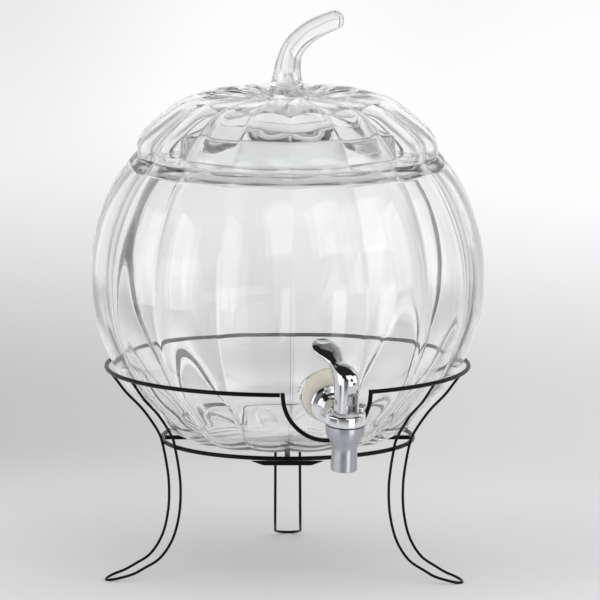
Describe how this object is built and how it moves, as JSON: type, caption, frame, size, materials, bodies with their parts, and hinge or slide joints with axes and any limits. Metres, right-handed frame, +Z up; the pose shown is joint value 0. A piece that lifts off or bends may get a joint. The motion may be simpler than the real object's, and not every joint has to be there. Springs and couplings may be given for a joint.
{
  "type": "glass beverage dispenser",
  "caption": "Lobed glass jar with a domed glass lid and curved stem handle, a chrome lever spigot at its foot, on a black wire stand with hairpin legs.",
  "frame": {"origin": "middle of the whole dispenser's footprint box, on the surface that its feet stand on", "axes": "+Z up, the front of the stand towards -Y, +X to the right of someone who faces the spigot"},
  "size_m": [0.2912, 0.347, 0.4172],
  "materials": {
    "glass": "clear blown glass, polished",
    "black_wire": "gloss black paint",
    "chrome": "bright chrome plate",
    "satin_metal": "satin silver plate",
    "spring_steel": "plain steel",
    "cream_silicone": "cream silicone, matte",
    "white_plastic": "moulded white plastic"
  },
  "bodies": {
    "stand": {"top_ring": "black_wire", "spigot_dip": "black_wire", "lower_ring": "black_wire", "left_leg": "black_wire", "right_leg": "black_wire", "back_leg": "black_wire", "left_tab": "black_wire", "right_tab": "black_wire", "front_tab": "black_wire", "back_tab": "black_wire", "front_brace": "black_wire"},
    "jar": {"jar": "glass", "outer_washer": "cream_silicone", "inner_washer": "white_plastic", "lock_nut": "white_plastic", "spigot_body": "chrome", "nozzle": "satin_metal", "bonnet": "chrome", "valve_spring": "spring_steel"},
    "lid": {"lid": "glass", "lid_stem": "glass"},
    "swivel": {"cam_washer": "white_plastic"},
    "valve": {"valve_stem": "spring_steel", "seat_cup": "cream_silicone"},
    "lever": {"lever": "chrome", "lever_pin": "spring_steel"}
  },
  "joints": [
    {"name": "jar_lift", "type": "slide", "parent": "stand", "child": "jar", "axis": [0, 0, 1], "range_m": [0, 0.12]},
    {"name": "lid_lift", "type": "slide", "parent": "jar", "child": "lid", "axis": [0, 0, 1], "range_m": [0, 0.08]},
    {"name": "lever_swivel", "type": "hinge", "parent": "jar", "child": "swivel", "pos_m": [0.04216, -0.15765, 0.1383], "axis": [0.0347, -0.1525, 0.9877], "continuous": true},
    {"name": "stem_lift", "type": "slide", "parent": "swivel", "child": "valve", "axis": [0.0347, -0.1525, 0.9877], "range_m": [0, 0.0028], "deforming": ["valve_spring"]},
    {"name": "lever_tilt", "type": "hinge", "parent": "valve", "child": "lever", "pos_m": [0.04282, -0.16055, 0.15706], "axis": [-0.8686, -0.4935, -0.0457], "range_deg": [0, 18], "stiffness_Nm_per_rad": 0.5, "springref_deg": -11.46}
  ],
  "couplings": [
    {"joint": "stem_lift", "follows": "lever_tilt", "m_per_rad": 0.00891}
  ]
}
